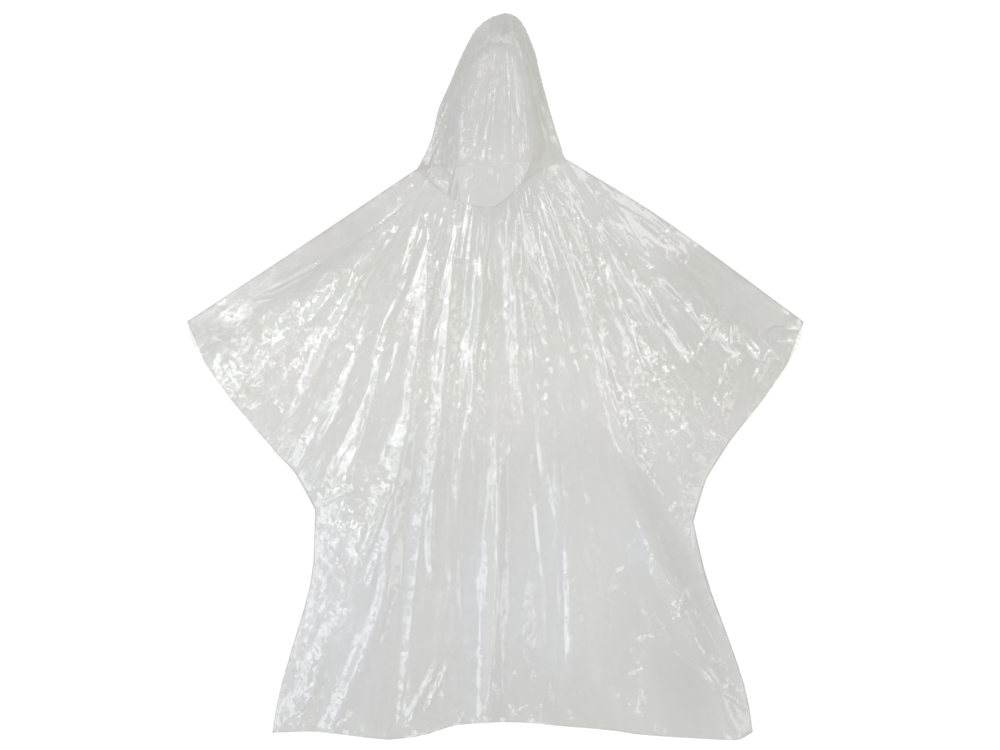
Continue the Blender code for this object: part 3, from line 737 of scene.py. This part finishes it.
def make_back():
    """The back film, which shows in the hood's opening. Returns its outline."""
    outline = with_hem(top_of("back_panel")[2], top_of("front_panel")[2])
    plan, faces = plan_mesh(outline, BACK_SPACING)
    edge = distance_to(plan, outline, closed=True)[0]
    free = np.clip(edge / BACK_HELD, 0, 1)
    (x, y), (half_x, half_y) = NECK_BACK
    from_neck = np.hypot((plan[:, 0] - x) / half_x, (plan[:, 1] - y) / half_y)
    gathered = np.clip(1.8 - from_neck, 0, 1)

    rise = 0.5 + 0.5 * np.tanh(0.35 * crumple(plan, 10) / BACK_MOST)
    height = BACK_EDGE_Z + free * BACK_MOST * (1 + gathered) * rise
    pleats = 0.0015 * facets(fanned(plan, FAN_CENTRE), (0.013, 0.080), 23, 0.4)
    height += free * gathered * np.maximum(pleats, 0)

    film = film_material(
        "film_back", FAN_CENTRE, streak=0.05, crinkle=0.10, banded=0.6, **BACK_FILM
    )
    points = np.column_stack([plan, height])
    piece = new_piece("film_back", points, faces, film, "back_panel")
    # painted shade: darker by the edges except at the neck, and where the back shows in the hood
    milk = (1 - (1 - edge_shade(edge)) * (1 - gathered)) * (1 - NECK_SHADE * gathered)
    write_attributes(piece, faces, FAN_CENTRE, 0.5 * area_strength(plan, CRUMPLED_AREAS), milk)
    return np.column_stack([outline, np.full(len(outline), BACK_EDGE_Z)])


def outer_skin(node):
    """The outer surface of a thickened CAD shell: the largest part between its sharp edges."""
    bm = bmesh.new()
    bm.from_mesh(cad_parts[node].data)
    bmesh.ops.remove_doubles(bm, verts=bm.verts, dist=1e-6)
    pairs = [e for e in bm.edges if len(e.link_faces) == 2]
    sharp = [e for e in pairs if e.calc_face_angle() > math.radians(60)]
    bmesh.ops.split_edges(bm, edges=sharp)
    bm.faces.ensure_lookup_table()
    seen, islands = set(), []
    for face in bm.faces:
        if face in seen:
            continue
        island, queue = [], [face]
        seen.add(face)
        while queue:
            at = queue.pop()
            island.append(at)
            for edge in at.edges:
                for other in edge.link_faces:
                    if other not in seen:
                        seen.add(other)
                        queue.append(other)
        islands.append(island)
    keep = set(max(islands, key=lambda faces: sum(f.calc_area() for f in faces)))
    bmesh.ops.delete(bm, geom=[f for f in bm.faces if f not in keep], context="FACES")
    return bm


def hood_skin(side):
    """The outer surface of one half of the hood, in small even triangles."""
    bm = outer_skin("hood_" + side)
    for _ in range(8):
        long = [e for e in bm.edges if e.calc_length() > HOOD_EDGE]
        if not long:
            break
        bmesh.ops.subdivide_edges(bm, edges=long, cuts=1)
        bmesh.ops.triangulate(bm, faces=bm.faces)
        bmesh.ops.beautify_fill(bm, faces=bm.faces, edges=bm.edges)
    bmesh.ops.delete(bm, geom=[v for v in bm.verts if not v.link_faces], context="VERTS")
    bm.verts.index_update()
    co = np.array([v.co for v in bm.verts])
    faces = np.array([[v.index for v in f.verts] for f in bm.faces])
    rim = np.array([v.is_boundary for v in bm.verts])
    bm.free()
    return co, faces, rim


def nearest_on(path, point):
    """The nearest point of a polyline in space."""
    a, step = path[:-1], np.diff(path, axis=0)
    t = np.clip(((point - a) * step).sum(1) / np.maximum((step**2).sum(1), 1e-12), 0, 1)
    found = a + t[:, None] * step
    return found[np.argmin(((found - point) ** 2).sum(1))]


def join_hood(skins, front_edge, back_edge):
    """Closes the gaps that the solids keep: the halves meet, and both meet the neck."""
    edges = {side: co[rim] for side, (co, _, rim) in skins.items()}
    necks = [np.vstack([edge, edge[:1]]) for edge in (front_edge, back_edge)]
    for side, (co, _, rim) in skins.items():
        other = edges["left" if side == "right" else "right"]
        for i in np.flatnonzero(rim):
            gaps = np.linalg.norm(other - co[i], axis=1)
            if gaps.min() < SEAM_REACH:
                co[i] = (co[i] + other[np.argmin(gaps)]) / 2
                continue
            found = [nearest_on(path, co[i]) for path in necks]
            neck = min(found, key=lambda p: np.linalg.norm(p - co[i]))
            if np.linalg.norm(neck - co[i]) < SEAM_REACH:
                co[i] = neck


def point_normals(co, faces):
    """The unit normal at each point, from the faces round it by their areas."""
    a, b, c = (co[faces[:, i]] for i in range(3))
    face_normal = np.cross(b - a, c - a)
    normal = np.zeros_like(co)
    for i in range(3):
        np.add.at(normal, faces[:, i], face_normal)
    return normal / np.maximum(np.linalg.norm(normal, axis=1), 1e-12)[:, None]


def make_hood(side, co, faces, rim):
    """One half of the hood: its skin, smoothed inside its rim, with crinkle that stays outside."""
    for _ in range(HOOD_ROUNDS):
        even = 0.4 * co + 0.6 * neighbour_mean(co, faces)
        even[rim] = co[rim]
        co = even
    normal = point_normals(co, faces)
    under = normal[:, 2] < -0.3
    reach = np.array([np.min(np.linalg.norm(co[rim][:, :2] - p, axis=1)) for p in co[:, :2]])
    fan = fanned(co[:, :2], HOOD_PEAK)
    seed = HOOD_SEEDS[side]
    crinkle = sum(rise * facets(fan, cell, seed + number) for rise, cell, number in HOOD_FOLDS)
    crinkle += 0.0005 * facets(co[:, :2] + co[:, 2:] * 0.7, (0.012, 0.014), seed + 2)
    crinkle *= np.clip(reach / 0.012, 0, 1)
    outside = crinkle * np.clip(co[:, 2] / 0.008, 0.2, 1)
    out = np.where(under, -HOOD_BACK_LIFT - crinkle, outside)
    out *= np.clip(reach / 0.014, 0, 1)
    co = co + normal * out[:, None]
    co[:, 2] = np.maximum(co[:, 2], HOOD_LOWEST)

    name = "film_hood_" + side
    film = film_material(name, HOOD_PEAK, streak=0.12, crinkle=0.12, banded=1.5, **HOOD_FILM)
    piece = new_piece(name, co, faces, film, "hood_" + side)
    neck = np.clip((0.440 - co[:, 1]) / 0.070, 0, 1)
    peak = np.clip((co[:, 1] - 0.50) / 0.05, 0, 1)
    leftward = np.clip((co[:, 0] - HOOD_MIDDLE) / 0.070, -1, 1)
    # painted shade: darker by the rim and more at the peak; darker at -X and lighter at +X
    outside_painted_shade = 1 - (0.08 + 0.05 * peak) * np.clip(1.2 - reach / 0.030, 0, 1) + 0.08 * leftward
    # painted shade inside the hood: its back darker, less so towards the neck
    milk = np.where(under, HOOD_BACK_SHADE + 0.13 * neck, outside_painted_shade)
    write_attributes(piece, faces, HOOD_PEAK, np.full(len(co), 0.3), smoothed(milk, faces, 4))


def make_weld(name, path, material):
    """The melted edge that joins two films: a thin strip, arched over their edges."""
    way = np.gradient(path, axis=0)
    way[:, 2] = 0
    way /= np.linalg.norm(way, axis=1)[:, None]
    across = np.column_stack([-way[:, 1], way[:, 0], np.zeros(len(way))])
    arch = [math.pi * i / 4 for i in range(5)]
    rings = [
        path + across * WELD_WIDTH / 2 * math.cos(a) + np.array([0, 0, WELD_HEIGHT * math.sin(a)])
        for a in arch
    ]
    co = np.stack(rings, axis=1).reshape(-1, 3)
    faces = []
    for i in range(len(path) - 1):
        for j in range(len(arch) - 1):
            a = i * len(arch) + j
            b = a + len(arch)
            faces += [(a, b, b + 1), (a, b + 1, a + 1)]
    faces = np.array(faces)
    piece = new_piece("film_weld_" + name, co, faces, material, None)
    write_attributes(piece, faces, FAN_CENTRE, np.zeros(len(co)), np.ones(len(co)))
    return piece


def stretch_between(outline, start, end):
    """The shorter way round a closed outline, from the point nearest start to that nearest end."""
    first, last = (int(np.argmin(np.linalg.norm(outline[:, :2] - p, axis=1))) for p in (start, end))
    one_way = np.roll(outline, -first, axis=0)[: (last - first) % len(outline) + 1]
    other_way = np.roll(outline, -last, axis=0)[: (first - last) % len(outline) + 1]
    return min(one_way, other_way, key=lambda p: np.linalg.norm(np.diff(p, axis=0), axis=1).sum())


# Camera, light and floor

VIEW_WIDTH = 1.754  # what the picture's width covers at the floor
VIEW_CENTRE = (0.008, 0.0026)
LENS = 85.0
FLOOR_GLOW = 0.88  # how white the table is to the camera
LAMPS = (
    # name, place, width and length, radiance, colour
    ("left", (-3.15, 1.15, 6.0), (1.80, 2.9), 2.6, (0.90, 0.89, 1.00)),
    ("left_low", (-3.20, -1.15, 6.0), (1.60, 1.7), 2.0, (0.91, 0.92, 1.00)),
    ("right", (3.40, 1.10, 6.0), (1.30, 2.8), 1.4, (0.97, 0.96, 0.96)),
    ("right_low", (3.30, -1.15, 6.0), (1.50, 1.7), 1.15, (1.00, 0.99, 0.95)),
    ("head", (0.80, 3.30, 6.0), (5.4, 1.80), 2.1, (0.90, 0.89, 1.00)),
    ("foot", (-0.20, -3.80, 6.0), (4.0, 1.10), 2.0, (1.00, 0.99, 0.94)),
    ("strip_left", (-1.90, 1.00, 6.0), (0.22, 2.6), 2.6, (0.90, 0.88, 1.00)),
    ("strip_left_low", (-1.90, -1.15, 6.0), (0.22, 1.7), 1.5, (0.92, 0.92, 1.00)),
    ("strip_right", (2.05, 0.90, 6.0), (0.20, 2.4), 1.9, (0.97, 0.95, 0.98)),
    ("strip_right_low", (2.05, -1.15, 6.0), (0.20, 1.7), 1.2, (0.97, 0.97, 0.96)),
    ("glint_left", (-2.00, 1.00, 3.0), (0.14, 1.6), 6.0, (1.00, 0.98, 0.94)),
    ("glint_right", (2.00, 1.00, 3.0), (0.14, 1.6), 6.0, (0.94, 0.94, 1.00)),
)


def make_floor():
    """The table: white to the camera and in reflections, and grey in the light that it returns."""
    bpy.ops.mesh.primitive_plane_add(size=30, location=(0, 0, -0.0005))
    floor = bpy.context.object
    floor.name = "floor"
    material = bpy.data.materials.new("floor")
    tree = Tree(material)
    shader = tree.nodes["Principled BSDF"]
    shader.inputs["Base Color"].default_value = (0.25, 0.25, 0.25, 1)
    shader.inputs["Roughness"].default_value = 0.9
    shader.inputs["Specular IOR Level"].default_value = 0.0
    glow = tree.new("Emission", {"Color": (1, 1, 1, 1), "Strength": FLOOR_GLOW})
    ray = tree.new("LightPath").outputs
    seen = tree.math("MAXIMUM", ray["Is Camera Ray"], ray["Is Glossy Ray"])
    white = tree.new("AddShader", {0: shader.outputs[0], 1: glow.outputs[0]})
    both = tree.new("MixShader", {0: seen, 1: shader.outputs[0], 2: white.outputs[0]})
    tree.put(tree.nodes["Material Output"].inputs["Surface"], both.outputs[0])
    floor.data.materials.append(material)


def make_lamps():
    """Lamps over the edges of the table, all turned to the raincoat."""
    for name, place, size, radiance, colour in LAMPS:
        lamp = bpy.data.lights.new(name, "AREA")
        lamp.shape = "RECTANGLE"
        lamp.size, lamp.size_y = size
        lamp.energy = radiance * math.pi * size[0] * size[1]
        lamp.color = colour
        obj = bpy.data.objects.new(name, lamp)
        obj.location = place
        obj.rotation_euler = (-Vector(place)).to_track_quat("-Z", "Y").to_euler()
        bpy.context.scene.collection.objects.link(obj)


def make_world():
    """The studio round the table: darker overhead, and brighter and bluer on the photo's left."""
    world = bpy.data.worlds.new("studio")
    tree = Tree(world)
    way = tree.new("TexCoord").outputs["Generated"]
    x, z = tree.part(way, "X"), tree.part(way, "Z")
    up = tree.ranged(z, (0.0, 0.97), (0.86, 0.57), "SMOOTHSTEP")
    along = tree.ranged(x, (-0.36, 0.36), (1.42, 0.76), "SMOOTHSTEP")
    warmer = tree.ranged(x, (-0.25, 0.25), (0.0, 1.0), "SMOOTHSTEP")
    background = tree.nodes["Background"].inputs
    tree.put(background["Strength"], tree.math("MULTIPLY", up, along))
    tree.put(background["Color"], tree.mix(warmer, (0.90, 0.93, 1.0, 1), (1.0, 0.99, 0.90, 1)))
    bpy.context.scene.world = world


def make_camera():
    """A camera straight above, whose picture takes in VIEW_WIDTH at the floor."""
    camera = bpy.data.cameras.new("camera")
    camera.lens = LENS
    height = VIEW_WIDTH * LENS / camera.sensor_width
    obj = bpy.data.objects.new("camera", camera)
    obj.location = (*VIEW_CENTRE, height)
    bpy.context.scene.collection.objects.link(obj)
    bpy.context.scene.camera = obj


make_camera()
make_lamps()
make_world()
make_floor()
back_edge = make_back()
front_edge = make_front()
skins = {side: hood_skin(side) for side in ("right", "left")}
join_hood(skins, front_edge, back_edge)
for side, skin in skins.items():
    make_hood(side, *skin)
bpy.context.scene.view_settings.view_transform = "Standard"
